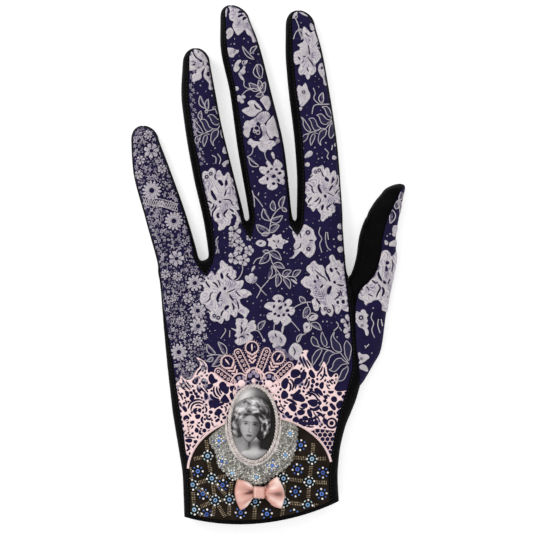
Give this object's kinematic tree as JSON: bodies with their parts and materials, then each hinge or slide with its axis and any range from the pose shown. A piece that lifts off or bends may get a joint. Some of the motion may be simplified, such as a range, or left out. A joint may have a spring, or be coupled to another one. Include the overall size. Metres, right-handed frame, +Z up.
{
  "type": "leather-trimmed dress glove",
  "caption": "Dress glove for the left hand, lying on its palm: lace-covered back, leather sides and palm, domed cuff panel with an oval cameo, beaded collar and bow.",
  "frame": {"origin": "under the middle of the glove's outline, on the surface that its palm lies on", "axes": "+Z up through the back of the hand, +Y from the hem to the fingertips, +X from the little finger to the thumb"},
  "size_m": [0.1374, 0.2595, 0.0219],
  "materials": {
    "leather": "semi-matt black glove leather",
    "lace_cloth": "navy cloth under ivory floral lace",
    "cuff_cloth": "dark brown cloth with small bead-like rosettes",
    "pink_lace": "matt pale pink corded lace",
    "satin": "salmon pink satin",
    "pearl": "pearl and cream cord",
    "beadwork": "silver-grey seed beads with blue and pale stones",
    "cameo": "grey relief under a thin gloss"
  },
  "bodies": {
    "root": {"back_panel": "lace_cloth", "cuff_panel": "cuff_cloth", "palm_panel": "leather", "outer_side": "leather", "fork_little_ring": "leather", "fork_ring_middle": "leather", "fork_middle_index": "leather", "thumb_side_strip": "leather", "thumb_back": "lace_cloth", "thumb_inner": "leather", "thumb_palm": "leather", "hem_binding": "leather", "lace_fan": "pink_lace", "piping_left": "pink_lace", "piping_right": "pink_lace", "cameo": "cameo", "rope_frame": "pearl", "beaded_collar": "beadwork", "bow_left": "satin", "bow_right": "satin", "bow_knot": "satin"}
  },
  "joints": []
}
